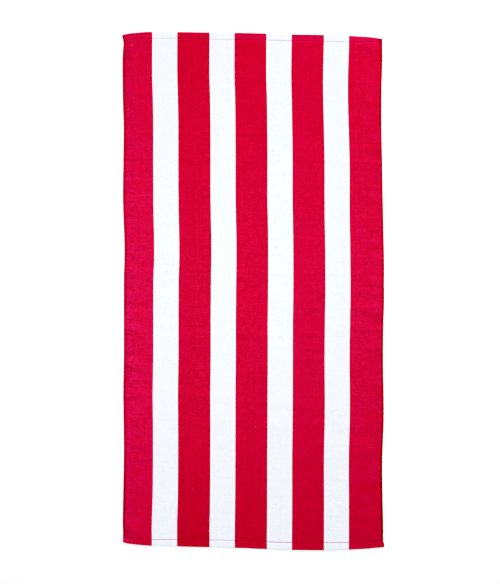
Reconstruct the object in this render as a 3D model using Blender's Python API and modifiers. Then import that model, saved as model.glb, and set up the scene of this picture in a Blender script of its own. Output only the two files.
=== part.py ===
# Beach towel lying flat: one striped cotton cloth with turned and sewn hems.
#
# Frame: +X runs across the towel, +Y along it and +Z is up. The origin is the middle of the
# underside. Every size below is in millimetres and is turned to metres by MM where it is used.

from collections import namedtuple

import bmesh
import bpy
import numpy as np

MM = 0.001

# The finished towel
TOWEL_WIDTH = 763.2
TOWEL_LENGTH = 1518.0
CLOTH_DEPTH = 3.0
HEM_DEPTH = 4.3
THINNEST = 1.4

# Lengthwise stripes: red at both sides, then white and red by turns
LEFT_STRIPE = 85.5
RED_STRIPE = 93.0
WHITE_STRIPE = 75.5
WHITE_STRIPES = 4

# Spacing of the cloth's cross lines between the two end hems
ROW_SPACING = 9.5
# Where the lengthwise lines of the outer stripes lie, measured from the side edge past the hem
OUTER_LINES = (17.0, 28.0, 42.0, 62.0)

# How a hem's depth changes from its outer edge inwards: the round fold, the turned layers,
# the groove that the stitches pull in, and the plain cloth
HemPoint = namedtuple("HemPoint", "from_edge depth")
SIDE_HEM = (
    HemPoint(0.0, 1.7),
    HemPoint(2.2, 3.6),
    HemPoint(5.0, 3.5),
    HemPoint(7.0, 2.2),
    HemPoint(10.0, 3.0),
)
END_HEM = (
    HemPoint(0.0, 1.9),
    HemPoint(2.8, 3.9),
    HemPoint(9.5, 3.8),
    HemPoint(16.5, 3.7),
    HemPoint(19.0, 2.1),
    HemPoint(22.5, 3.0),
)

# How far the cloth's lengthwise threads sway to the right of straight lines, at five threads:
# both side edges, the inner edges of the two outer stripes, and one thread near the middle
Sway = namedtuple("Sway", "along left_edge left_stripe middle right_stripe right_edge")
SWAYS = (
    Sway(-759, -2.4, -3.4, -1.2, -1.4, 4.1),
    Sway(-735, -1.2, -3.6, -1.7, -1.2, 1.1),
    Sway(-704, -2.0, -3.8, -1.3, -1.2, 1.0),
    Sway(-616, -0.7, -1.3, -0.6, -1.1, -0.8),
    Sway(-498, 1.2, 0.0, -0.4, -1.6, -1.7),
    Sway(-380, 0.3, -0.3, 0.2, 1.1, 2.4),
    Sway(-321, -0.5, -1.0, 0.4, 1.7, 2.5),
    Sway(-203, 1.2, 0.7, 1.2, 0.6, 0.6),
    Sway(-85, 1.2, 0.9, 1.1, 2.0, 1.8),
    Sway(-26, 1.1, 0.9, 1.9, 3.2, 3.6),
    Sway(33, 1.4, 1.4, 2.4, 3.4, 3.5),
    Sway(92, 2.9, 3.5, 2.6, 2.9, 3.6),
    Sway(151, 2.4, 3.3, 2.4, 2.4, 2.4),
    Sway(210, 0.2, 1.7, 1.4, 1.0, 1.3),
    Sway(269, -1.5, 1.1, 0.1, 0.8, 0.0),
    Sway(387, -0.1, 0.6, 0.3, 0.6, -1.9),
    Sway(505, 0.4, 0.5, -0.5, -2.5, -4.2),
    Sway(564, -1.5, -0.7, -1.2, -4.0, -4.1),
    Sway(623, -2.4, -2.4, -3.1, -4.1, -3.6),
    Sway(711, -1.5, -2.4, -3.2, -1.6, -1.4),
    Sway(735, -0.4, -2.3, -3.1, -0.9, -1.8),
    Sway(759, -3.9, -2.4, -2.8, -0.9, -1.6),
)
MIDDLE_THREAD = 41.0

# How far the two end edges stand out past (or fall short of) half the length: the cloth is a
# little skewed, and the side hems draw its corners in
EndShape = namedtuple("EndShape", "across top bottom")
END_SHAPES = (
    EndShape(-381.6, -6.2, -19.6),
    EndShape(-369, -1.0, -15.9),
    EndShape(-334, 3.2, -11.2),
    EndShape(-222, 4.6, -7.2),
    EndShape(-133, 3.4, -4.8),
    EndShape(-30, 2.0, -2.2),
    EndShape(23, 0.5, 0.3),
    EndShape(118, -2.5, 3.6),
    EndShape(191, -3.4, 4.3),
    EndShape(286, -6.6, 2.7),
    EndShape(356, -11.7, -2.3),
    EndShape(381.6, -15.5, -5.3),
)

# Soft puckers that the side hems pull into the cloth. Each is a low ridge that starts at the
# hem, runs inwards for its reach and climbs by its slope, lifted off the surface below
Pucker = namedtuple("Pucker", "side along reach slope half_width lift")
PUCKERS = (
    Pucker("left", 654, 60, 0.12, 15, 1.3),
    Pucker("left", 590, 60, 0.20, 24, 0.7),
    Pucker("left", 532, 104, 0.45, 18, 0.9),
    Pucker("left", 447, 90, 0.10, 20, 0.8),
    Pucker("left", 386, 104, 0.00, 15, 1.3),
    Pucker("left", 324, 80, 0.20, 25, 0.7),
    Pucker("left", 266, 90, 0.10, 17, 0.6),
    Pucker("left", 199, 104, -0.30, 17, 1.1),
    Pucker("left", 138, 104, -0.10, 15, 0.9),
    Pucker("left", 93, 100, 0.00, 17, 0.7),
    Pucker("left", 52, 104, -0.05, 18, 1.4),
    Pucker("left", 9, 60, 0.00, 16, 0.5),
    Pucker("left", -18, 60, -0.10, 15, 0.9),
    Pucker("left", -78, 90, 0.10, 15, 0.5),
    Pucker("left", -116, 104, -0.30, 22, 1.8),
    Pucker("left", -178, 60, -0.10, 14, 1.0),
    Pucker("left", -221, 104, -0.24, 23, 2.8),
    Pucker("left", -266, 50, 0.00, 20, 0.5),
    Pucker("left", -308, 60, 0.00, 18, 0.9),
    Pucker("left", -342, 60, -0.30, 20, 0.4),
    Pucker("left", -390, 104, -0.15, 21, 1.4),
    Pucker("left", -445, 90, -0.50, 20, 1.5),
    Pucker("left", -524, 80, -0.35, 16, 1.1),
    Pucker("left", -561, 40, 0.00, 14, 0.4),
    Pucker("left", -615, 80, -0.40, 22, 1.0),
    Pucker("left", -662, 50, 0.00, 16, 0.4),
    Pucker("left", -702, 70, -0.50, 20, 2.2),
    Pucker("right", 723, 45, 0.10, 15, 1.5),
    Pucker("right", 612, 60, 0.20, 20, 0.6),
    Pucker("right", 565, 70, 0.30, 18, 0.9),
    Pucker("right", 522, 90, 0.00, 18, 0.5),
    Pucker("right", 488, 60, 0.00, 18, 0.4),
    Pucker("right", 425, 104, 0.00, 16, 0.7),
    Pucker("right", 391, 60, 0.00, 16, 0.4),
    Pucker("right", 309, 60, 0.00, 14, 0.5),
    Pucker("right", 269, 100, 0.50, 16, 1.0),
    Pucker("right", 250, 40, 0.00, 14, 0.7),
    Pucker("right", 196, 104, -0.35, 16, 1.7),
    Pucker("right", 139, 80, 0.00, 22, 1.1),
    Pucker("right", 95, 60, 0.00, 18, 0.6),
    Pucker("right", 61, 60, 0.10, 14, 0.6),
    Pucker("right", 28, 104, 0.20, 18, 1.3),
    Pucker("right", -6, 60, 0.00, 15, 0.6),
    Pucker("right", -64, 110, 0.33, 25, 2.6),
    Pucker("right", -111, 100, 0.10, 20, 1.1),
    Pucker("right", -162, 60, 0.00, 14, 0.3),
    Pucker("right", -210, 70, 0.00, 23, 0.7),
    Pucker("right", -264, 90, -0.30, 27, 0.9),
    Pucker("right", -339, 80, -0.10, 18, 1.2),
    Pucker("right", -403, 80, 0.00, 18, 0.7),
    Pucker("right", -465, 100, 0.00, 20, 1.5),
    Pucker("right", -509, 50, 0.00, 22, 0.6),
    Pucker("right", -560, 60, 0.00, 24, 0.8),
    Pucker("right", -608, 90, 0.00, 27, 1.0),
    Pucker("right", -658, 70, -0.20, 24, 1.0),
)
# How much of a pucker's lift is left at the very edge of the towel, how far in from there it has
# its whole lift, and how soon it dies away along its reach
EDGE_SHARE = 0.35
WHOLE_LIFT_FROM = 20.0
PUCKER_FADE = 0.7

# Low folds left across the cloth from when it was put away folded. Each runs from one place
# across the towel to another, and lies as far along it as its two ends say
CrossFold = namedtuple("CrossFold", "start end along_start along_end half_width lift")
CROSS_FOLDS = (
    CrossFold(-300, 212, -147, -118, 22, 0.8),
    CrossFold(-222, 212, -312, -335, 19, 1.0),
    CrossFold(-222, 370, -393, -397, 18, 0.8),
)
# Length over which a cross fold dies away past its ends
FOLD_FADE = 60.0

RED_YARN = (0.68, 0.004, 0.034, 1.0)
WHITE_YARN = (0.92, 0.93, 0.95, 1.0)
YARN_ROUGHNESS = 0.95


def smooth_curve(rows, column, places):
    """Read one column of a table at any places, on a smooth curve through its rows."""
    at = np.array([row[0] for row in rows], dtype=float)
    value = np.array([getattr(row, column) for row in rows], dtype=float)
    slope = np.gradient(value, at)
    span = np.clip(np.searchsorted(at, places) - 1, 0, len(at) - 2)
    width = at[span + 1] - at[span]
    t = np.clip((places - at[span]) / width, 0.0, 1.0)
    start = (2 * t**3 - 3 * t**2 + 1) * value[span] + (t**3 - 2 * t**2 + t) * width * slope[span]
    end = (3 * t**2 - 2 * t**3) * value[span + 1] + (t**3 - t**2) * width * slope[span + 1]
    return start + end


def stripe_edges():
    """Distances from the left side edge to each change of colour."""
    edges = [LEFT_STRIPE]
    for _ in range(WHITE_STRIPES):
        edges.append(edges[-1] + WHITE_STRIPE)
        edges.append(edges[-1] + RED_STRIPE)
    return edges[:-1]


def lengthwise_lines():
    """Places across the towel, from its middle, of the lines that run along it."""
    near_side = [point.from_edge for point in SIDE_HEM] + list(OUTER_LINES)
    from_left = near_side + stripe_edges() + [TOWEL_WIDTH - inset for inset in reversed(near_side)]
    return np.array(from_left) - TOWEL_WIDTH / 2


def cross_lines():
    """Places along the towel, from its middle, of the lines that run across it."""
    near_end = [point.from_edge for point in END_HEM]
    inner_length = TOWEL_LENGTH - 2 * near_end[-1]
    steps = round(inner_length / ROW_SPACING)
    inner = np.linspace(near_end[-1], TOWEL_LENGTH - near_end[-1], steps + 1)[1:-1]
    from_bottom = near_end + list(inner) + [TOWEL_LENGTH - inset for inset in reversed(near_end)]
    return np.array(from_bottom) - TOWEL_LENGTH / 2


def hem_change(profile, from_edge):
    """How much deeper or thinner than the plain cloth a hem is at a distance from its edge."""
    places = [point.from_edge for point in profile]
    depths = [point.depth for point in profile]
    return np.interp(from_edge, places, depths) - CLOTH_DEPTH


def cloth_depth(across, along):
    """Depth of the cloth: plain inside, folded over at the hems, and both at a corner."""
    from_side = TOWEL_WIDTH / 2 - abs(across)
    from_end = TOWEL_LENGTH / 2 - abs(along)
    depth = CLOTH_DEPTH + hem_change(SIDE_HEM, from_side) + hem_change(END_HEM, from_end)
    return np.clip(depth, THINNEST, HEM_DEPTH)


def pucker_lift(across, along):
    """How far the puckers lift the cloth off the surface that it lies on."""
    lift = np.zeros_like(across)
    hem = SIDE_HEM[-1].from_edge
    for pucker in PUCKERS:
        turn = 1 if pucker.side == "right" else -1
        inwards = TOWEL_WIDTH / 2 - turn * across
        past_hem = inwards - hem
        away = (along - pucker.along - pucker.slope * past_hem) / pucker.half_width
        ridge = np.clip(1 - away**2, 0, None) ** 2
        fade_in = EDGE_SHARE + (1 - EDGE_SHARE) * np.clip(inwards / WHOLE_LIFT_FROM, 0, 1)
        fade_out = np.clip(1 - np.clip(past_hem, 0, None) / pucker.reach, 0, 1) ** PUCKER_FADE
        lift = np.maximum(lift, pucker.lift * ridge * fade_in * fade_out)
    return lift


def fold_lift(across, along):
    """How far the cross folds lift the cloth."""
    lift = np.zeros_like(across)
    for fold in CROSS_FOLDS:
        line = np.interp(across, (fold.start, fold.end), (fold.along_start, fold.along_end))
        ridge = np.clip(1 - ((along - line) / fold.half_width) ** 2, 0, None) ** 2
        past_end = np.maximum(fold.start - across, across - fold.end)
        lift = np.maximum(lift, fold.lift * ridge * np.clip(1 - past_end / FOLD_FADE, 0, 1))
    return lift


def place_cloth(across, along):
    """Where each point of the flat cut cloth lies, with its sway, skew and puckers."""
    edge = TOWEL_WIDTH / 2
    threads = (-edge, LEFT_STRIPE - edge, MIDDLE_THREAD, stripe_edges()[-1] - edge, edge)
    sways = [smooth_curve(SWAYS, name, along) for name in Sway._fields[1:]]
    x = across + np.array([np.interp(a, threads, s) for a, s in zip(across, np.transpose(sways))])
    top = TOWEL_LENGTH / 2 + smooth_curve(END_SHAPES, "top", across)
    bottom = -TOWEL_LENGTH / 2 - smooth_curve(END_SHAPES, "bottom", across)
    share = along / TOWEL_LENGTH + 0.5
    y = bottom + (top - bottom) * share
    middle_x = (x.min() + x.max()) / 2
    middle_y = (y.min() + y.max()) / 2
    lift = np.maximum(pucker_lift(across, along), fold_lift(across, along))
    return x - middle_x, y - middle_y, lift


def make_yarn(name, color):
    """A matt cotton yarn material."""
    material = bpy.data.materials.new(name)
    material.use_nodes = True
    material.diffuse_color = color
    shader = material.node_tree.nodes["Principled BSDF"]
    shader.inputs["Base Color"].default_value = color
    shader.inputs["Roughness"].default_value = YARN_ROUGHNESS
    shader.inputs["Metallic"].default_value = 0.0
    return material


def make_towel(collection):
    """The cloth: its underside as a grid on the cloth's own lines, thickened upwards."""
    columns = lengthwise_lines()
    rows = cross_lines()
    sheet = bmesh.new()
    bmesh.ops.create_grid(
        sheet, x_segments=len(columns) - 1, y_segments=len(rows) - 1, size=1.0
    )
    sheet.verts.index_update()
    # Each grid point's line numbers, from its place in the even grid that runs from -1 to 1
    column = np.rint([(v.co.x + 1) / 2 * (len(columns) - 1) for v in sheet.verts]).astype(int)
    row = np.rint([(v.co.y + 1) / 2 * (len(rows) - 1) for v in sheet.verts]).astype(int)
    across = columns[column]
    along = rows[row]
    x, y, z = place_cloth(across, along)
    for vertex, place in zip(sheet.verts, zip(x, y, z)):
        vertex.co = [value * MM for value in place]

    # Stripes: a face is red or white by the stripe that its middle lies in
    edges = np.array(stripe_edges()) - TOWEL_WIDTH / 2
    for face in sheet.faces:
        middle = np.mean([across[vertex.index] for vertex in face.verts])
        face.material_index = int(np.searchsorted(edges, middle) % 2)
        face.smooth = True

    mesh = bpy.data.meshes.new("towel")
    sheet.to_mesh(mesh)
    sheet.free()
    mesh.materials.append(make_yarn("Red cotton yarn", RED_YARN))
    mesh.materials.append(make_yarn("White cotton yarn", WHITE_YARN))
    towel = bpy.data.objects.new("towel", mesh)
    collection.objects.link(towel)

    depth = towel.vertex_groups.new(name="Cloth depth")
    for index, share in enumerate(cloth_depth(across, along) / HEM_DEPTH):
        depth.add([index], float(share), "REPLACE")
    thicken = towel.modifiers.new("Cloth depth", "SOLIDIFY")
    thicken.thickness = HEM_DEPTH * MM
    thicken.offset = 1.0
    thicken.vertex_group = depth.name
    return towel


def main():
    for old in list(bpy.data.objects):
        bpy.data.objects.remove(old, do_unlink=True)
    collection = bpy.data.collections.new("Beach towel")
    bpy.context.scene.collection.children.link(collection)
    make_towel(collection)


main()
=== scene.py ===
# Beach towel lying flat: striped velour cotton with turned, sewn hems, seen from straight above.
# Sizes are in millimetres and are turned to metres by mm where a mesh or a node takes them.

import math

import bpy
import numpy as np
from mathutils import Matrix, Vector


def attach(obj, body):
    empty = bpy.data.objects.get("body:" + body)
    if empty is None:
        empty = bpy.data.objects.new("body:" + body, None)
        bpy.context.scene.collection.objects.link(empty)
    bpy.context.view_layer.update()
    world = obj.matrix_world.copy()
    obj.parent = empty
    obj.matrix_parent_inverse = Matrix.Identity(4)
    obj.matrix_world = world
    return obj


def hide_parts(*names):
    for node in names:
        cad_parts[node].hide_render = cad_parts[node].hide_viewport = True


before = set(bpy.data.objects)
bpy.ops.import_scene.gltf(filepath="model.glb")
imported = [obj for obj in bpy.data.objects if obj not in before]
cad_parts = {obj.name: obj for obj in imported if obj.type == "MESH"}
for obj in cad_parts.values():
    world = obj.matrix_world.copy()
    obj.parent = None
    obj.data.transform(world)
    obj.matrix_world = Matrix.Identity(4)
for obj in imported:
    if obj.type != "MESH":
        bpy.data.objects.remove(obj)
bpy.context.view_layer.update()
mm = 0.001


def feed(node, inputs):
    # gives each input its value or its link
    for socket, value in inputs.items():
        if isinstance(value, bpy.types.NodeSocket):
            node.id_data.links.new(value, node.inputs[socket])
        else:
            node.inputs[socket].default_value = value


def addNode(tree, kind, inputs=None, ramp=(), **settings):
    # adds one node: settings first, then a ramp's colours, then its inputs; where two colours are
    # mixed, they are the inputs 6 and 7 and the result is the output 2
    node = tree.nodes.new(kind)
    for name, value in settings.items():
        setattr(node, name, value)
    if ramp:
        elements = node.color_ramp.elements
        elements.remove(elements[1])
        for position, colour in ramp:
            element = elements[0] if position == 0 else elements.new(position)
            element.color = (*colour[:3], 1)
    feed(node, inputs or {})
    return node


def newMaterial(name):
    material = bpy.data.materials.new(name)
    material.use_nodes = True
    return material, material.node_tree.nodes["Principled BSDF"]


def newObject(name, data):
    thing = bpy.data.objects.new(name, data)
    bpy.context.scene.collection.objects.link(thing)
    return thing


def hexToLinear(code):
    # "#D90745" as a designer reads it, to the linear values that nodes take
    channels = [int(code[i:i + 2], 16) / 255 for i in (1, 3, 5)]
    linear = [c / 12.92 if c <= 0.04045 else ((c + 0.055) / 1.055) ** 2.4 for c in channels]
    return (*linear, 1.0)


def rise(value, start, end):
    # evenly from 0 at start to 1 at end, and level beyond them; start may be the larger one
    return np.clip((value - start) / (end - start), 0, 1)


def hills(across, along, height, size, seed):
    # smooth random hills about `size` mm apart, from -height to height, the same on every run
    count, middle = 512, 200    # lattice points each way, and where among them the towel's middle lies
    lattice = np.random.default_rng(seed).uniform(-1, 1, (count, count))
    p, q = across / size + middle, along / size + middle
    i, j = np.floor(p).astype(int), np.floor(q).astype(int)
    u, v = p - i, q - j
    u, v = u * u * (3 - 2 * u), v * v * (3 - 2 * v)
    i, j, i1, j1 = i % count, j % count, (i + 1) % count, (j + 1) % count
    low = lattice[i, j] * (1 - u) + lattice[i1, j] * u
    high = lattice[i, j1] * (1 - u) + lattice[i1, j1] * u
    return height * (low * (1 - v) + high * v)


def smoothCurve(table, column, places):
    # one column of a table, on a smooth curve through its rows
    at, value = table[:, 0], table[:, column]
    slope = np.gradient(value, at)
    span = np.clip(np.searchsorted(at, places) - 1, 0, len(at) - 2)
    width = at[span + 1] - at[span]
    t = np.clip((places - at[span]) / width, 0, 1)
    start = (2 * t**3 - 3 * t**2 + 1) * value[span] + (t**3 - 2 * t**2 + t) * width * slope[span]
    end = (3 * t**2 - 2 * t**3) * value[span + 1] + (t**3 - t**2) * width * slope[span + 1]
    return start + end


towel = {
    "width": 763.2, "length": 1518.0,      # the finished flat size
    "depth": 3.0, "thinnest": 1.4, "deepest": 4.3,
    "stripeEdges": (87.7, 160.7, 256.2, 329.1, 423.7, 496.5, 591.2, 663.7),   # from the left edge
    "swayThreads": (-296.1, 41.0, 284.9),  # from the middle: the threads whose sway is listed below
    "nap": (1.2, 0.95),                    # how far the pile stands out past the sides and the ends
    "sideSeam": 7.0, "endSeam": 19.0,      # rows of stitching, from the edges
    "seamFollow": 40,                      # past an end seam, how far in the cloth follows its path
    "cornerRound": 2.0,
    "shift": (0.1, 0.45),                  # puts the middle of the cloth's box on the origin
    # random hills: height, size, seed; and how far from the edge some of them start and are whole
    "lieUneven": (0.35, 95, 5),            # the cloth on the floor
    "pileUneven": ((0.10, 9, 3), (0.16, 31, 4)), "pileFrom": (2, 12),
    "hemUneven": (0.22, 13, 8), "hemUnevenFrom": (0, 3),
    "rippleSway": (3, 60, 6), "rippleUneven": (0.6, 45, 7),
    # puckers and creases, the ridges that run in from the side hems
    "ridgeFrom": 10,                       # how far from the edge their reach and slope start
    "ridgeAtEdge": 0.35, "ridgeWhole": 20,     # share of the height at the edge, and where it is whole
    "puckerFade": 0.7, "creaseFade": 0.6,  # under 1 a ridge stays high for longer
    "creaseLean": 0.3, "rippleLean": 0.25,     # how much steeper the side away from the light is
    "rippleLift": 1.3,                     # times the lift in the ripples' list
    "foldEnd": 60,                         # how far a fold across the cloth runs out past its ends
    # underneath, the stitches draw a groove, and past it the turned edge ends: its depth and half
    # width; then how far past the seam the step is, its height, its rise and its run back down
    "groove": 0.75, "grooveHalf": 1.5,
    "stepPast": 2, "step": 0.55, "stepRise": 0.8, "stepRun": 16,
}
halfWidth, halfLength = towel["width"] / 2, towel["length"] / 2

# how deep the cloth is from its edge inwards: turned layers, the groove of the seam, plain pile
sideHem = ((2.2, 3.6), (3.6, 3.65), (5.0, 3.5), (5.9, 3.15), (6.5, 2.5), (7.0, 2.2), (7.6, 2.4),
           (8.4, 2.8), (9.4, 2.97), (10.6, 3.0))
endHem = ((2.8, 3.9), (6.0, 3.85), (9.5, 3.75), (13.5, 3.7), (16.5, 3.7), (17.8, 3.2), (18.5, 2.45),
          (19.0, 2.1), (19.6, 2.35), (20.6, 2.8), (22.5, 3.0))
sideNose = {"height": 1.6, "reach": 2.2, "under": 1.2}   # the round fold at the very edge
endNose = {"height": 1.7, "reach": 2.8, "under": 1.4}
# how far from the edge the end seams were really sewn: across, top, bottom
endSeamPath = np.array((
    (-382, 21.0, 16.6), (-335, 20.9, 16.8), (-262, 20.6, 19.2), (-172, 21.2, 20.6),
    (-91, 21.3, 22.0), (-5, 21.0, 21.5), (78, 20.4, 21.8), (163, 20.1, 22.5),
    (247, 19.9, 22.1), (290, 20.2, 20.8), (325, 18.6, 19.8), (356, 14.6, 19.3), (382, 11.5, 19.0),
))

# sway of the lengthwise threads, to the right of straight: along, then at five threads
sways = np.array((
    (-759, -2.4, -3.4, -1.2, -1.4, 4.3), (-750, -1.9, -3.5, -1.4, -1.3, 3.7),
    (-742, -1.5, -3.6, -1.6, -1.2, 1.6), (-735, -1.2, -3.6, -1.7, -1.2, 1.1),
    (-704, -2.0, -3.8, -1.3, -1.2, 1.0), (-616, -0.7, -1.3, -0.6, -1.1, -0.8),
    (-498, 1.2, 0.0, -0.4, -1.6, -1.7), (-380, 0.3, -0.3, 0.2, 1.1, 2.4),
    (-321, -0.5, -1.0, 0.4, 1.7, 2.5), (-203, 1.2, 0.7, 1.2, 0.6, 0.6),
    (-85, 1.2, 0.9, 1.1, 2.0, 1.8), (-26, 1.1, 0.9, 1.9, 3.2, 3.6),
    (33, 1.4, 1.4, 2.4, 3.4, 3.5), (92, 2.9, 3.5, 2.6, 2.9, 3.6),
    (151, 2.4, 3.3, 2.4, 2.4, 2.4), (210, 0.2, 1.7, 1.4, 1.0, 1.3),
    (269, -1.5, 1.1, 0.1, 0.8, 0.0), (387, -0.1, 0.6, 0.3, 0.6, -1.9),
    (505, 0.4, 0.5, -0.5, -2.5, -4.2), (564, -1.5, -0.7, -1.2, -4.0, -4.1),
    (623, -2.4, -2.4, -3.1, -4.1, -3.6), (711, -1.5, -2.4, -3.2, -1.6, -1.4),
    (735, 0.2, -2.3, -3.1, -0.9, -1.8), (742, -0.1, -2.3, -3.0, -0.9, -1.8),
    (748, -1.8, -2.3, -2.9, -0.9, -1.7), (759, -4.3, -2.4, -2.8, -0.9, -1.6),
))
# how far the two ends stand past half the length: across, top, bottom
endShapes = np.array((
    (-381.6, -4.6, -19.8), (-369, -1.0, -16.3), (-334, 3.2, -11.8), (-222, 4.6, -7.3),
    (-133, 3.4, -4.8), (-30, 2.2, -2.2), (23, 0.9, 0.2), (118, -2.2, 3.4),
    (191, -3.4, 4.2), (286, -6.6, 2.3), (356, -11.6, -2.7), (381.6, -15.4, -5.5),
))

# soft puckers drawn in by the side hems: side (-1 left), along, reach, slope, half width, lift
puckers = (
    (-1, 654, 60, 0.12, 15, 1.3), (-1, 590, 60, 0.2, 24, 0.7), (-1, 532, 104, 0.45, 18, 0.9),
    (-1, 447, 90, 0.1, 20, 0.8), (-1, 386, 104, 0, 15, 1.3), (-1, 324, 80, 0.2, 25, 0.7),
    (-1, 266, 90, 0.1, 17, 0.6), (-1, 199, 104, -0.3, 17, 1.1), (-1, 138, 104, -0.1, 15, 0.9),
    (-1, 93, 100, 0, 17, 0.7), (-1, 52, 104, -0.05, 18, 1.4), (-1, 9, 60, 0, 16, 0.5),
    (-1, -18, 60, -0.1, 15, 0.9), (-1, -78, 90, 0.1, 15, 0.5), (-1, -116, 104, -0.3, 22, 1.8),
    (-1, -178, 60, -0.1, 14, 1), (-1, -221, 104, -0.24, 23, 2.8), (-1, -266, 50, 0, 20, 0.5),
    (-1, -308, 60, 0, 18, 0.9), (-1, -342, 60, -0.3, 20, 0.4), (-1, -390, 104, -0.15, 21, 1.4),
    (-1, -445, 90, -0.5, 20, 1.5), (-1, -524, 80, -0.35, 16, 1.1), (-1, -561, 40, 0, 14, 0.4),
    (-1, -615, 80, -0.4, 22, 1), (-1, -662, 50, 0, 16, 0.4), (-1, -702, 70, -0.5, 20, 2.2),
    (1, 723, 45, 0.1, 15, 1.5), (1, 612, 60, 0.2, 20, 0.6), (1, 565, 70, 0.3, 18, 0.9),
    (1, 522, 90, 0, 18, 0.5), (1, 488, 60, 0, 18, 0.4), (1, 425, 104, 0, 16, 0.7),
    (1, 391, 60, 0, 16, 0.4), (1, 309, 60, 0, 14, 0.5), (1, 269, 100, 0.5, 16, 1),
    (1, 250, 40, 0, 14, 0.7), (1, 196, 104, -0.35, 16, 1.7), (1, 139, 80, 0, 22, 1.1),
    (1, 95, 60, 0, 18, 0.6), (1, 61, 60, 0.1, 14, 0.6), (1, 28, 104, 0.2, 18, 1.3),
    (1, -6, 60, 0, 15, 0.6), (1, -64, 110, 0.33, 25, 2.6), (1, -111, 100, 0.1, 20, 1.1),
    (1, -162, 60, 0, 14, 0.3), (1, -210, 70, 0, 23, 0.7), (1, -264, 90, -0.3, 27, 0.9),
    (1, -339, 80, -0.1, 18, 1.2), (1, -403, 80, 0, 18, 0.7), (1, -465, 100, 0, 20, 1.5),
    (1, -509, 50, 0, 22, 0.6), (1, -560, 60, 0, 24, 0.8), (1, -608, 90, 0, 27, 1),
    (1, -658, 70, -0.2, 24, 1),
)
# folds left across the cloth: start, end, along at both, half width, lift
crossFolds = (
    (-300, 212, -147, -118, 22, 0.8), (-222, 212, -312, -335, 19, 1.0),
    (-222, 370, -393, -397, 18, 0.8),
)
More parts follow.
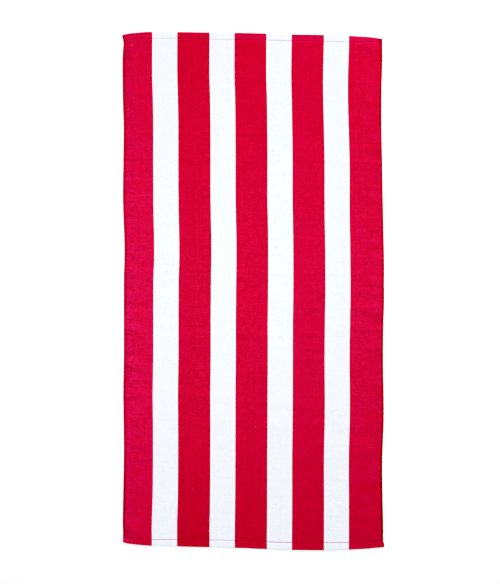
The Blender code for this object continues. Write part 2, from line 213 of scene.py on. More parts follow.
# narrow creases on top of them, as the puckers; each is steeper on the side away from the light, and
# the last number says how much painted shade darkens its side away from the light
creases = (
    (-1, 692, 21, 0, 6, 1, 0.9), (-1, 662, 38, 0.15, 5, 0.6, 0.5), (-1, 653, 38, 0.2, 6, 0.7, 0.5),
    (-1, 635, 27, 0.35, 6, 0.6, 0.5), (-1, 604, 10, 0, 5, 0.4, 0.6), (-1, 593, 71, 0, 7, 0.4, 0.2),
    (-1, 542, 38, 0, 6, 0.4, 0.3), (-1, 512, 24, -0.3, 7, 0.5, 0.4), (-1, 491, 18, 0, 6, 0.3, 0.3),
    (-1, 386, 71, -0.05, 8, 0.9, 0.5), (-1, 287, 30, 0, 7, 0.4, 0.2), (-1, 249, 41, 0, 4.5, 0.4, 0.3),
    (-1, 240, 41, 0.05, 4.5, 0.5, 0.5), (-1, 185, 65, -0.3, 8, 0.6, 0.3), (-1, 170, 30, 0, 6, 0.4, 0.2),
    (-1, 131, 71, -0.15, 8, 0.6, 0.3), (-1, 42, 27, -0.1, 5.5, 0.7, 0.6),
    (-1, 31, 41, 0.05, 5.5, 0.6, 0.5), (-1, -1, 47, 0, 6, 0.4, 0.2), (-1, -38, 15, -0.2, 5.5, 0.6, 0.8),
    (-1, -74, 24, -0.5, 5, 0.5, 0.4), (-1, -84, 24, -0.5, 5, 0.5, 0.4),
    (-1, -122, 35, -0.15, 5, 0.5, 0.4), (-1, -134, 71, -0.18, 6.5, 1.1, 0.8),
    (-1, -167, 32, -0.05, 4.5, 0.5, 0.5), (-1, -187, 30, -0.05, 6, 0.9, 0.8),
    (-1, -229, 59, -0.35, 8, 0.8, 0.4), (-1, -242, 38, -0.05, 5.5, 1, 0.9),
    (-1, -271, 71, 0, 7, 0.3, 0.15), (-1, -284, 27, 0, 6, 0.4, 0.35), (-1, -320, 44, 0, 5, 0.7, 0.7),
    (-1, -355, 71, -0.35, 9, 0.5, 0.15), (-1, -404, 41, -0.05, 6, 0.5, 0.35),
    (-1, -413, 41, 0.05, 5, 0.4, 0.3), (-1, -457, 41, -0.55, 6.5, 0.9, 0.8),
    (-1, -485, 35, 0, 4.5, 0.4, 0.45), (-1, -506, 24, -0.5, 6, 0.5, 0.3),
    (-1, -531, 30, -0.45, 6.5, 0.8, 0.6), (-1, -596, 35, 0, 4.5, 0.4, 0.5),
    (-1, -623, 44, -0.03, 4.5, 0.5, 0.6), (-1, -671, 47, -0.03, 5, 0.3, 0.2),
    (-1, -700, 68, -0.5, 8, 0.4, 0.2), (-1, -719, 34, -0.8, 9, 1.3, 1),
    (-1, -736, 36, -0.15, 5, 0.7, 0.6),
    (1, 722, 24, -0.1, 6, 1.2, 0.9), (1, 612, 27, 0, 6, 0.3, 0.2), (1, 564, 27, 0, 6, 0.4, 0.25),
    (1, 516, 59, 0, 7, 0.3, 0.15), (1, 447, 59, 0.05, 6, 0.3, 0.15), (1, 424, 41, 0, 7, 0.3, 0.15),
    (1, 385, 65, 0, 8, 0.5, 0.15), (1, 340, 35, -0.2, 7, 0.3, 0.15), (1, 304, 59, 0.35, 8, 0.6, 0.3),
    (1, 271, 35, 0, 6, 0.5, 0.3), (1, 248, 18, 0.2, 6, 0.8, 0.6), (1, 220, 53, 0, 7, 0.6, 0.3),
    (1, 187, 35, -0.05, 5, 0.8, 0.7), (1, 132, 35, 0.3, 7, 0.6, 0.4), (1, 91, 24, -0.35, 6, 0.4, 0.2),
    (1, 59, 41, 0, 7, 0.3, 0.15), (1, 23, 24, 0.1, 6, 0.5, 0.3), (1, -4, 65, 0, 8, 0.6, 0.3),
    (1, -28, 24, -0.1, 6, 0.5, 0.3), (1, -63, 71, 0.1, 11, 1, 0.35), (1, -80, 65, 0.4, 8, 0.7, 0.4),
    (1, -114, 71, 0, 8, 0.4, 0.2), (1, -166, 41, -0.2, 7, 0.4, 0.2), (1, -229, 30, 0.4, 6, 0.4, 0.2),
    (1, -274, 65, -0.02, 5.5, 0.6, 0.5), (1, -318, 71, -0.05, 7, 0.4, 0.15),
    (1, -360, 41, 0.3, 7, 0.5, 0.2), (1, -384, 41, -0.1, 6, 0.4, 0.25),
    (1, -411, 41, -0.5, 7, 0.3, 0.1), (1, -474, 41, -0.2, 7, 0.5, 0.35),
    (1, -498, 41, 0.2, 6, 0.3, 0.2), (1, -528, 41, -0.4, 7, 0.5, 0.35), (1, -564, 24, 0, 6, 0.4, 0.25),
    (1, -582, 24, 0, 6, 0.4, 0.25), (1, -632, 41, 0, 7, 0.3, 0.1), (1, -713, 65, -0.45, 7, 0.6, 0.4),
)
# faint ripples right across: along at the left, middle and right, half width, lift at the same
ripples = (
    (620, 620, 614, 9, 0.1, 0.35, 0.15), (579, 576, 567, 7, 0.1, 0.35, 0.1),
    (523, 520, 514, 8, 0.15, 0.25, 0.2), (458, 461, 473, 8, 0.1, 0.3, 0.2),
    (393, 390, 384, 7, 0.35, 0.35, 0.4), (325, 319, 310, 8, 0.1, 0.3, 0.3),
    (263, 248, 240, 8, 0.15, 0.3, 0.1), (145, 157, 148, 8, 0.25, 0.1, 0.35),
    (110, 110, 104, 10, 0.1, 0.4, 0.1), (54, 57, 51, 11, 0.3, 0.4, 0.4), (-8, -2, 4, 8, 0.3, 0.25, 0.35),
    (-41, -44, -47, 9, 0.1, 0.4, 0.5), (-123, -135, -106, 10, 0.3, 0.35, 0.3),
    (-165, -165, -165, 9, 0.1, 0.15, 0.55), (-224, -235, -238, 10, 0, 0.3, 0.1),
    (-297, -303, -309, 8, 0.2, 0.3, 0.35), (-383, -383, -383, 8, 0.4, 0.5, 0.4),
    (-460, -442, -451, 10, 0.1, 0.25, 0.25), (-480, -486, -489, 7, 0.1, 0.3, 0.2),
    (-539, -551, -548, 9, 0.1, 0.4, 0.35), (-598, -595, -601, 8, 0.1, 0.35, 0.25),
    (-648, -651, -663, 9, 0.1, 0.15, 0.2),
)


def placeCloth(across, along):
    # where a point of the flat cloth lies, seen from above
    threads = (-halfWidth, *towel["swayThreads"], halfWidth)
    sway = np.stack([smoothCurve(sways, column, along) for column in range(1, 6)], axis=-1)
    x = across + np.array([np.interp(a, threads, s) for a, s in zip(across, sway)])
    top = halfLength + smoothCurve(endShapes, 1, across)
    bottom = -halfLength - smoothCurve(endShapes, 2, across)
    y = bottom + (top - bottom) * (along / towel["length"] + 0.5)
    x, y = x + towel["nap"][0] * across / halfWidth, y + towel["nap"][1] * along / halfLength
    return x - towel["shift"][0], y - towel["shift"][1]


def ridge(away, halfSize, lean=0.0):
    # a soft ridge one unit high; lean narrows its lower side and widens its upper side
    size = halfSize * np.where(away > 0, 1 + lean, 1 - lean)
    return np.clip(1 - (away / size) ** 2, 0, None) ** 2


def hemRidges(across, along, table, lean, fade):
    # the highest of the table's ridges, which run in from the side hems and die out
    lift = np.zeros_like(across)
    for side, at, reach, slope, halfSize, height in table:
        inwards = halfWidth - side * across
        pastHem = inwards - towel["ridgeFrom"]
        grown = towel["ridgeAtEdge"] + (1 - towel["ridgeAtEdge"]) * rise(inwards, 0, towel["ridgeWhole"])
        shape = ridge(along - at - slope * pastHem, halfSize, lean)
        lift = np.maximum(lift, height * shape * grown * rise(pastHem, reach, 0) ** fade)
    return lift


def clothLift(across, along):
    # how far puckers, folds, creases and ripples lift the cloth off the floor
    lift = hemRidges(across, along, puckers, 0, towel["puckerFade"])
    for start, end, alongStart, alongEnd, halfSize, height in crossFolds:
        line = np.interp(across, (start, end), (alongStart, alongEnd))
        pastEnd = np.maximum(start - across, across - end)
        fold = height * ridge(along - line, halfSize) * rise(pastEnd, towel["foldEnd"], 0)
        lift = np.maximum(lift, fold)
    narrow = [row[:6] for row in creases]
    lift = lift + hemRidges(across, along, narrow, towel["creaseLean"], towel["creaseFade"])
    places = (-halfWidth, 0, halfWidth)
    sway = hills(across, along, *towel["rippleSway"])
    gain = towel["rippleLift"] * (1 + hills(across, along, *towel["rippleUneven"]))
    for row in ripples:
        line = np.interp(across, places, row[:3]) + sway
        height = gain * np.interp(across, places, row[4:])
        lift = lift + height * ridge(along - line, row[3], towel["rippleLean"])
    return lift + (towel["lieUneven"][0] + hills(across, along, *towel["lieUneven"])) / 2


def hemProfile(fromEdge, hem, nose):
    # depth of the cloth at a hem, with its round nose, measured against the plain cloth
    table = np.array(hem)
    t = np.clip(fromEdge / nose["reach"], 0, 1)
    noseDepth = nose["height"] + (hem[0][1] - nose["height"]) * np.sqrt(1 - (1 - t) ** 2)
    return np.where(fromEdge < nose["reach"], noseDepth, smoothCurve(table, 1, fromEdge)) - towel["depth"]


def noseUnder(fromEdge, nose):
    # how far the round nose of a hem stands off the floor
    t = np.clip(fromEdge / nose["under"], 0, 1)
    return nose["height"] * (1 - np.sqrt(1 - (1 - t) ** 2))


def followSeam(across, along):
    # moves points near an end so that the hem's own lines follow the seam as it was sewn
    fromEnd, straight = halfLength - abs(along), towel["endSeam"]
    seam = np.where(along > 0, smoothCurve(endSeamPath, 1, across), smoothCurve(endSeamPath, 2, across))
    share = np.minimum(fromEnd / straight, rise(fromEnd, straight + towel["seamFollow"], straight))
    return along - np.sign(along) * (seam - straight) * share


def surfaces(across, along):
    # heights of the cloth's underside and top at points of the flat cloth
    fromSide, fromEnd = halfWidth - abs(across), halfLength - abs(along)
    fromEdge = np.minimum(fromSide, fromEnd)
    lift = clothLift(across, followSeam(across, along))
    depth = towel["depth"] + hemProfile(fromSide, sideHem, sideNose) + hemProfile(fromEnd, endHem, endNose)
    depth = np.clip(depth, towel["thinnest"], towel["deepest"])
    pile = sum(hills(across, along, *row) for row in towel["pileUneven"])
    # the turned layers bulge a little between the stitches, more in some places than others
    turned = (fromSide < towel["sideSeam"]) | (fromEnd < towel["endSeam"])
    bulge = hills(across, along, *towel["hemUneven"]) * rise(fromEdge, *towel["hemUnevenFrom"])
    uneven = pile * rise(fromEdge, *towel["pileFrom"]) + np.where(turned, bulge, 0)
    under = lift + np.maximum(noseUnder(fromSide, sideNose), noseUnder(fromEnd, endNose))
    for distance, seam in ((fromSide, towel["sideSeam"]), (fromEnd, towel["endSeam"])):
        past = distance - seam - towel["stepPast"]
        step = towel["step"] * rise(past, 0, towel["stepRise"]) * rise(past, towel["stepRun"], 0) ** 2
        groove = towel["groove"] * np.clip(1 - ((distance - seam) / towel["grooveHalf"]) ** 2, 0, 1)
        under = np.maximum(under, np.maximum(step, groove))
    return under, lift + depth + uneven


# how the colour of the hems and creases differs from the plain cloth's: dense weave on the side folds,
# and painted light and shade on the folds, creases, top hem and end seams
paintedLightAndWeave = {
    # the side folds, dense weave with painted shade of the rolled edge, at places down the towel, from 0
    # at the top to 1 at the bottom: the left fold's strength, width in mm and how far its outer rim opens,
    # then the right fold's strength and width
    "folds": np.array((
        (0.015, 0.72, 8.4, 0.30, 0.66, 10.5), (0.04, 0.73, 8.4, 0.30, 0.66, 7.0),
        (0.10, 0.77, 8.4, 0.38, 0.66, 6.1), (0.24, 0.78, 8.2, 0.55, 0.62, 4.5),
        (0.42, 0.75, 7.9, 0.35, 0.68, 6.0), (0.61, 0.77, 7.0, 0.10, 0.79, 5.6),
        (0.79, 0.78, 7.0, 0.05, 0.85, 6.4), (0.92, 0.92, 8.0, 0.15, 0.88, 6.8),
        (0.985, 0.92, 8.0, 0.15, 0.88, 6.8), (0.989, 0.60, 5.0, 0.15, 0.50, 4.5),
    )),
    "foldSoft": 1.5,                            # half the width over which a fold ends
    "rim": (4.5, 2.5),                          # the open rim, where a painted highlight takes back some shade: none and whole, from the edge
    "leftEdge": (2.6, 1.4), "leftEdgeLight": 0.55,    # painted highlight: the left fold catches light at the very edge
    # the end hems, at the middle of each stripe, across: in red, painted shade in the seam's groove at the
    # bottom, a painted highlight beside the seam at the top and the top hem's painted highlight, lighter
    # and pinker; in white, a dark line at top and bottom, partly thread dye in the pile and partly painted
    # shade
    "red": np.array(((-368, 0.5, 0.65, 0.27), (-347, 1.0, 0.65, 0.27), (-305, 0.98, 0.65, 0.27),
                     (-172, 0.67, 0.4, 0.5), (-5, 0.2, 0.15, 0.95),
                     (163, 0.72, 0.4, 1.0), (325, 0.5, 1.0, 0.85))),
    "white": np.array(((-262, 0.15, 1.0), (-91, 0.22, 0.7), (78, 0.5, 1.0), (247, 0.38, 0.93))),
    "seamLine": (1.87, 0.77),                   # none and whole, from the row of stitching
    "topHemHighlight": (5, -1),                          # none and whole, past the row of stitching
    "creaseShift": -0.3, "creaseWidth": 0.62,   # painted shade on a crease's side away from the light, in its half widths
}


def paintLightAndWeave(across, along):
    # where the colour looks different: side folds (dense weave with painted shade), top hem (painted
    # highlight) and creases (painted shade), then the end seams: painted shade in red cloth, thread dye and
    # painted shade in white cloth, painted highlight in red cloth
    fromSide, fromEnd = halfWidth - abs(across), halfLength - abs(along)
    atLeft, atTop = across < 0, along > 0
    downward = 0.5 - along / towel["length"]
    # side folds: darker for their dense weave and for painted shade of the rolled edge, mostly deeper down
    # the towel; the open rim and the left edge take some back as painted highlight
    strength, width, rim, rightStrength, rightWidth = [
        np.interp(downward, paintedLightAndWeave["folds"][:, 0], paintedLightAndWeave["folds"][:, column]) for column in range(1, 6)]
    width = np.where(atLeft, width, rightWidth)
    fold = np.where(atLeft, strength, rightStrength)
    fold = fold * rise(fromSide, width + paintedLightAndWeave["foldSoft"], width - paintedLightAndWeave["foldSoft"])
    fold = fold * (1 - atLeft * rim * rise(fromSide, *paintedLightAndWeave["rim"]))
    fold = fold * (1 - atLeft * paintedLightAndWeave["leftEdgeLight"] * rise(fromSide, *paintedLightAndWeave["leftEdge"]))

    # painted shade on each crease, on its side away from the light
    shift, narrow = paintedLightAndWeave["creaseShift"], paintedLightAndWeave["creaseWidth"]
    shadedFlanks = [(side, at + shift * halfSize, reach, slope, narrow * halfSize, dark)
              for side, at, reach, slope, halfSize, _, dark in creases]
    creaseShade = hemRidges(across, followSeam(across, along), shadedFlanks, 0, towel["creaseFade"])

    # painted shade in the end seams' grooves, with the thread's dye in white cloth; a painted highlight
    # beside the top seam in red and on the top hem
    redSeamShade, redSeamHighlight, topHighlightStrength = [
        np.interp(across, paintedLightAndWeave["red"][:, 0], paintedLightAndWeave["red"][:, column]) for column in (1, 2, 3)]
    whiteTop, whiteBottom = [
        np.interp(across, paintedLightAndWeave["white"][:, 0], paintedLightAndWeave["white"][:, column]) for column in (1, 2)]
    topHemHighlight = atTop * rise(fromEnd - towel["endSeam"], *paintedLightAndWeave["topHemHighlight"]) * topHighlightStrength
    seam = rise(abs(fromEnd - towel["endSeam"]), *paintedLightAndWeave["seamLine"])
    lines = seam * ~atTop * redSeamShade, seam * np.where(atTop, whiteTop, whiteBottom), seam * atTop * redSeamHighlight
    return np.stack([fold, topHemHighlight, creaseShade], axis=-1), np.stack(lines, axis=-1)


sheetGrid = {
    "sideLines": (0, 0.12, 0.5, 1.2, 2.2, 3.6, 5.0, 5.9, 6.5, 7.0, 7.6, 8.4, 9.4, 10.6, 12.6, 15.4),
    "endLines": (0, 0.12, 0.5, 1.3, 2.8, 5.0, 8.0, 11.5, 15.0, 16.8, 17.8, 18.5, 19.0, 19.6, 20.6,
                 22.5, 25.2, 28.4),
    "outerStep": 3.9, "outerUntil": 104.0,  # finer where the side hems pucker the cloth
    "innerStep": 8.8, "rowStep": 3.0,
    "underInset": 0.3,                      # how far in the underside's outermost line lies
    "mapWidth": 0.488,                      # share of the map that the towel's width takes
}


def gridLines(half, edgeLines, steps):
    # places of the grid's lines, from the middle, with an even number of spaces between them
    places = list(edgeLines)
    for step, until in steps:
        count = max(1, round((until - places[-1]) / step))
        places += list(np.linspace(places[-1], until, count + 1)[1:])
    outer = np.array(places) - half
    return np.concatenate([outer, -outer[-2::-1]])


def roundCorner(across, along):
    # the corners turn on a small radius
    r = towel["cornerRound"]
    u = np.clip(r - (halfWidth - abs(across)), 0, r) / r
    v = np.clip(r - (halfLength - abs(along)), 0, r) / r
    newU, newV = u * np.sqrt(1 - v * v / 2), v * np.sqrt(1 - u * u / 2)
    return across - np.sign(across) * (u - newU) * r, along - np.sign(along) * (v - newV) * r


def clothPoints(across, along, which):
    # finished places in metres of points of the flat cloth, on its underside (0) or top (1)
    x, y = placeCloth(*roundCorner(across, followSeam(across, along)))
    return np.stack([x, y, surfaces(across, along)[which]], axis=-1) * mm


def sheetFaces(columns, rows):
    # faces of the top, of the underside, which has every second line, and of the rim between them
    lastColumn, lastRow = columns - 1, rows - 1

    def top(i, j):
        return i * rows + j

    def under(i, j):
        return columns * rows + i // 2 * (rows // 2 + 1) + j // 2

    topFaces = [(top(i, j), top(i + 1, j), top(i + 1, j + 1), top(i, j + 1))
                for i in range(lastColumn) for j in range(lastRow)]
    others = [(under(i, j), under(i, j + 2), under(i + 2, j + 2), under(i + 2, j))
              for i in range(0, lastColumn, 2) for j in range(0, lastRow, 2)]
    # rim: two spaces of the top's edge line meet one space of the underside's
    for i in range(0, lastColumn, 2):
        others.append((top(i + 1, 0), top(i, 0), under(i, 0), under(i + 2, 0), top(i + 2, 0)))
        others.append((top(i, lastRow), top(i + 1, lastRow), top(i + 2, lastRow),
                       under(i + 2, lastRow), under(i, lastRow)))
    for j in range(0, lastRow, 2):
        others.append((top(0, j), top(0, j + 1), top(0, j + 2), under(0, j + 2), under(0, j)))
        others.append((top(lastColumn, j + 1), top(lastColumn, j), under(lastColumn, j),
                       under(lastColumn, j + 2), top(lastColumn, j + 2)))
    return topFaces, others


def markPoints(mesh, name, values):
    data = mesh.attributes.new(name, "FLOAT_VECTOR", "POINT").data
    data.foreach_set("vector", values.astype(np.float32).ravel())


def makeSheet():
    sideSteps = ((sheetGrid["outerStep"], sheetGrid["outerUntil"]), (sheetGrid["innerStep"], halfWidth))
    columns = gridLines(halfWidth, sheetGrid["sideLines"], sideSteps)
    rows = gridLines(halfLength, sheetGrid["endLines"], ((sheetGrid["rowStep"], halfLength),))
    across, along = [grid.ravel() for grid in np.meshgrid(columns, rows, indexing="ij")]
    underColumns, underRows = columns[::2].copy(), rows[::2].copy()
    for lines in (underColumns, underRows):
        lines[0] += sheetGrid["underInset"]
        lines[-1] -= sheetGrid["underInset"]
    underAcross, underAlong = [grid.ravel() for grid in np.meshgrid(underColumns, underRows, indexing="ij")]
    points = np.concatenate([clothPoints(across, along, 1), clothPoints(underAcross, underAlong, 0)])
    flat = np.stack([np.concatenate([across, underAcross]), np.concatenate([along, underAlong])], -1)
    topFaces, others = sheetFaces(len(columns), len(rows))
    faces = topFaces + others

    mesh = bpy.data.meshes.new("towel_cloth")
    mesh.from_pydata(points.tolist(), [], faces)
    mesh.polygons.foreach_set("use_smooth", [True] * len(mesh.polygons))
    markPoints(mesh, "cloth", np.column_stack([flat * mm, np.zeros(len(flat))]))
    for name, values in zip(("lightAndWeave", "seams"), paintLightAndWeave(flat[:, 0], flat[:, 1])):
        markPoints(mesh, name, values)

    # one tidy map: the top on the left half, the underside and the rim on the right half
    corners = np.zeros(len(mesh.loops), dtype=np.int32)
    mesh.loops.foreach_get("vertex_index", corners)
    ofTop = sum(len(face) for face in topFaces)
    share = flat[corners] / towel["width"] * sheetGrid["mapWidth"]
    u = share[:, 0] + np.where(np.arange(len(corners)) < ofTop, 0.25, 0.75)
    v = share[:, 1] + 0.5
    layout = mesh.uv_layers.new(name="OFBake")
    layout.data.foreach_set("uv", np.stack([u, v], -1).ravel().astype(np.float32))
    mesh.update()
    triangles = sum(len(face) - 2 for face in faces)
    print("sheet:", triangles, "triangles,", len(columns), "x", len(rows), "lines")
    return newObject("towel_cloth", mesh)


# Woven cotton velour, sheared on its face: a dense matt pile without gloss, faint ribs and weft
# lines, painted shade on the side of each crease away from the light, and a soft glow where it turns away
velour = {
    # the five reds and four whites, left to right
    "stripes": ("#AB083C", "#D6E1EF", "#A40632", "#D6E0EF", "#A50633", "#D6E1EE",
                "#A50635", "#D5E0ED", "#A90738"),
    "redBelow": 0.2,            # a stripe with less green than this is a red one
    # mm by which the dyed threads cross the line between two stripes, and how they do
    "stripeWobble": 0.12, "stripeWander": ((2.5, 1, 0.50, (1, 1, 1), 4.0),),
    # how the pile lies, in layers: size in mm, finer layers and their share, stretch, strength
    "lean": (
        (45.0, 2, 0.80, (1, 1, 1), 0.55),       # patches brushed one way or the other
        (10.0, 0, 0.50, (1, 1, 1), 0.35),       # groups of tufts
        (3.2, 0, 0.50, (1, 1, 1), 1.05),        # tufts
        (4.2, 1, 0.70, (4, 1, 1), 0.80),        # short runs of weft; the real threads are 1 mm
        (4.2, 1, 0.70, (1, 4, 1), 0.75),        # apart, too fine to show, so they are drawn coarser
        (8.0, 1, 0.60, (14, 1, 1), 0.35),       # bands of weft beaten up more or less
        (3.2, 1, 0.60, (30, 1, 1), 0.45),
        (4.5, 1, 0.60, (1, 200, 1), 0.4),       # warp ribs
    ),
    "blush": ((36.0, 3, 0.80, (1, 1, 1), 1.0),),            # patches of pinker and of deeper dye
    # by the left and the right hem: how much more of the lean shows, none and whole from the edge
    "hemLean": (1.2, 0.35), "hemLeanFrom": (46, 12),
    # how much more of the blush shows along the sides, none and whole from the middle
    "ruffled": 0.9, "ruffledFrom": (290, 320),
    # what the lean does to the dye and to white cotton, and what the blush does to the dye
    "redLean": ((0.80, 0.66, 0.80), (1.20, 1.34, 1.20)),
    "whiteLean": ((0.86, 0.885, 0.885), (1.14, 1.115, 1.115)),
    "redBlush": ((1.0, 0.80, 0.74), (1.0, 1.20, 1.26)),
    # from the bottom to the top the red's hue changes, a painted sheen: pinker a little below the middle,
    # where the overhead light falls straight on the pile, and deeper at both ends; the white is bluer at
    # the bottom
    "redSheenAlong": ((0.0, (1, 0.9, 0.86)), (0.4, (1, 1.12, 1.0)), (1.0, (1, 0.8, 0.80))),
    "alongWhite": ((0.0, (1.08, 1.07, 1.15)), (0.08, (1.05, 1.04, 1.08)), (0.2, (1, 1, 1))),
    # the left stripe changes more, and is pinker by its hem
    "alongLeft": ((0.0, (1.055, 1.05, 1.10)), (0.17, (1.045, 1.03, 1.05)), (0.3, (1, 1, 1)),
                  (0.5, (0.985, 1, 0.97)), (0.8, (1, 1, 1))),
    "leftHemTint": (1.025, 1.1, 1.21),
    "creaseShadeTint": (0.78, 0.56, 0.69),            # painted shade on a crease's side away from the light
    # dense weave with painted shade of the rolled edge on the folds of the side hems, from none to full
    "foldWeaveAndShade": ((0.0, (1, 1, 1)), (0.4, (0.87, 0.60, 0.72)), (0.65, (0.76, 0.35, 0.46)),
                (0.8, (0.62, 0.30, 0.40)), (1.0, (0.45, 0.20, 0.30))),
    # the end seams: painted shade in red cloth, thread dye and painted shade in white cloth, a painted
    # highlight in red; and the top hem's painted highlight, lighter and pinker
    "seamDyeAndShade": ((0.72, 0.42, 0.56), (0.68, 0.35, 0.46)), "seamHighlight": (1.5, 2.0, 1.6),
    "topHemHighlightTint": (1.05, 1.25, 1.45),
    "lint": ((-354.8, 723.6, 1.6), (7.0, -399.0, 1.3)),     # pale flecks in the pile: across, along, size
    "lintCore": 0.4, "lintColour": "#DE6A96",
    "tuftSpacing": 1.8, "tuftDip": 0.6,         # mm, and how deep the gaps are beside the pile's lean
    "bump": 0.45, "bumpDepth": 0.7,             # strength, and depth in mm
    "roughness": (0.98, 0.86), "specular": 0.02,    # roughness of pile that leans back or forwards
    "sheen": 0.06, "sheenRoughness": 0.4, "sheenTint": "#FFD0D8",
}


def addLayers(tree, place, table, shift):
    # layers of noise added up around one half, each one shifted so that none repeats another
    level = 0.5 - sum(row[-1] for row in table) / 2
    for size, detail, rough, stretch, gain in table:
        shift += 1.7
        spread = addNode(tree, "ShaderNodeVectorMath", {
            0: place, 1: [1 / s for s in stretch], 2: (shift, shift, shift)}, operation="MULTIPLY_ADD")
        noise = addNode(tree, "ShaderNodeTexNoise", {
            "Vector": spread.outputs[0], "Scale": 1 / (size * mm), "Detail": detail, "Roughness": rough})
        level = addNode(tree, "ShaderNodeMath", {0: noise.outputs["Fac"], 1: gain, 2: level},
                        operation="MULTIPLY_ADD").outputs[0]
    return level


def dyeStripes(tree, place, across):
    # colour of the stripes, with lines that waver by a thread, then which are red and which is the left
    wobble = velour["stripeWobble"] * mm
    wander = addLayers(tree, place, velour["stripeWander"], shift=0)
    wavy = addNode(tree, "ShaderNodeMath", {0: wander, 1: wobble, 2: across},
                   operation="MULTIPLY_ADD").outputs[0]
    lines = [(edge - halfWidth) * mm for edge in towel["stripeEdges"]]
    colour = hexToLinear(velour["stripes"][0])
    for line, code in zip(lines, velour["stripes"][1:]):
        past = addNode(tree, "ShaderNodeMath", {0: wavy, 1: line + wobble / 2}, operation="GREATER_THAN")
        colour = addNode(tree, "ShaderNodeMix", {0: past.outputs[0], 6: colour, 7: hexToLinear(code)},
                         data_type="RGBA").outputs[2]
    green = addNode(tree, "ShaderNodeSeparateColor", {"Color": colour}).outputs["Green"]
    isRed, isLeft = [addNode(tree, "ShaderNodeMath", {0: value, 1: limit}, operation="LESS_THAN").outputs[0]
                     for value, limit in ((green, velour["redBelow"]), (wavy, lines[0]))]
    return colour, isRed, isLeft


def brushPile(tree, place, across):
    # lean of the pile and patches of the dye, both stronger where the side hems ruffle them, then
    # where the left hem is
    sideways = addNode(tree, "ShaderNodeMath", {0: across}, operation="ABSOLUTE")
    ruffled = addNode(tree, "ShaderNodeMapRange", {
        "Value": sideways.outputs[0], "From Min": velour["ruffledFrom"][0] * mm,
        "From Max": velour["ruffledFrom"][1] * mm, "To Min": 1.0, "To Max": 1 + velour["ruffled"]})
    start, whole = [(halfWidth - fromSide) * mm for fromSide in velour["hemLeanFrom"]]
    sides = [
        addNode(tree, "ShaderNodeMapRange", {
            "Value": across, "From Min": turn * start, "From Max": turn * whole}).outputs["Result"]
        for turn in (-1, 1)]
    byHem = 1.0
    for side, more in zip(sides, velour["hemLean"]):
        byHem = addNode(tree, "ShaderNodeMath", {0: side, 1: more, 2: byHem},
                        operation="MULTIPLY_ADD").outputs[0]
    swings = []
    for name, gain, shift in (("lean", byHem, 0), ("blush", ruffled.outputs["Result"], 20)):
        level = addLayers(tree, place, velour[name], shift)
        swing = addNode(tree, "ShaderNodeMath", {0: level, 1: 0.5}, operation="SUBTRACT")
        swings.append(addNode(tree, "ShaderNodeMath", {0: swing.outputs[0], 1: gain, 2: 0.5},
                              operation="MULTIPLY_ADD", use_clamp=True).outputs[0])
    return *swings, sides[0]


def pileDyesAndPaintedSheen(tree, along, lean, blush, isRed, isLeft, leftHem):
    # what the pile and the place along the towel do to the colours, with the red's painted sheen along it:
    # shares and tints
    redLean, whiteLean, redBlush = [
        addNode(tree, "ShaderNodeMix", {0: share, 6: (*velour[name][0], 1), 7: (*velour[name][1], 1)},
                data_type="RGBA").outputs[2]
        for share, name in ((lean, "redLean"), (lean, "whiteLean"), (blush, "redBlush"))]
    upward = addNode(tree, "ShaderNodeMapRange", {
        "Value": along, "From Min": -halfLength * mm, "From Max": halfLength * mm})
    ramps = [addNode(tree, "ShaderNodeValToRGB", {"Fac": upward.outputs["Result"]}, ramp=velour[name])
             for name in ("alongWhite", "redSheenAlong", "alongLeft")]
    for ramp in ramps:
        ramp.color_ramp.interpolation = "EASE"
    alongWhite, redSheenAlong, alongLeft = [ramp.outputs["Color"] for ramp in ramps]
    leanTint, alongTint = [
        addNode(tree, "ShaderNodeMix", {0: isRed, 6: white, 7: red}, data_type="RGBA").outputs[2]
        for white, red in ((whiteLean, redLean), (alongWhite, redSheenAlong))]
    return [(1.0, leanTint), (isRed, redBlush), (1.0, alongTint), (isLeft, alongLeft),
            (leftHem, (*velour["leftHemTint"], 1))]


def hemWeaveAndPaintedLight(tree, isRed):
    # what the painted shade of creases, the dense weave and painted shade of hem folds, the top hem's
    # painted highlight and the end seams' painted shade, thread dye and highlight do to the colours: shares
    # and tints
    parts = []
    for name in ("lightAndWeave", "seams"):
        marks = addNode(tree, "ShaderNodeAttribute", attribute_name=name)
        parts += addNode(tree, "ShaderNodeSeparateXYZ", {"Vector": marks.outputs["Vector"]}).outputs
    fold, topHemHighlight, creaseShade, redSeam, whiteSeam, seamHighlightShare = parts
    foldWeaveAndShadeTint = addNode(tree, "ShaderNodeValToRGB", {"Fac": fold}, ramp=velour["foldWeaveAndShade"])
    seam = addNode(tree, "ShaderNodeMix", {0: isRed, 2: whiteSeam, 3: redSeam})
    redTint, whiteTint = [(*tint, 1) for tint in velour["seamDyeAndShade"]]
    seamTint = addNode(tree, "ShaderNodeMix", {0: isRed, 6: whiteTint, 7: redTint}, data_type="RGBA")
    redTopHemHighlight, redSeamHighlight = [
        addNode(tree, "ShaderNodeMath", {0: part, 1: isRed}, operation="MULTIPLY").outputs[0]
        for part in (topHemHighlight, seamHighlightShare)]
    return [(creaseShade, (*velour["creaseShadeTint"], 1)), (isRed, foldWeaveAndShadeTint.outputs["Color"]),
            (redTopHemHighlight, (*velour["topHemHighlightTint"], 1)), (seam.outputs[0], seamTint.outputs[2]),
            (redSeamHighlight, (*velour["seamHighlight"], 1))]


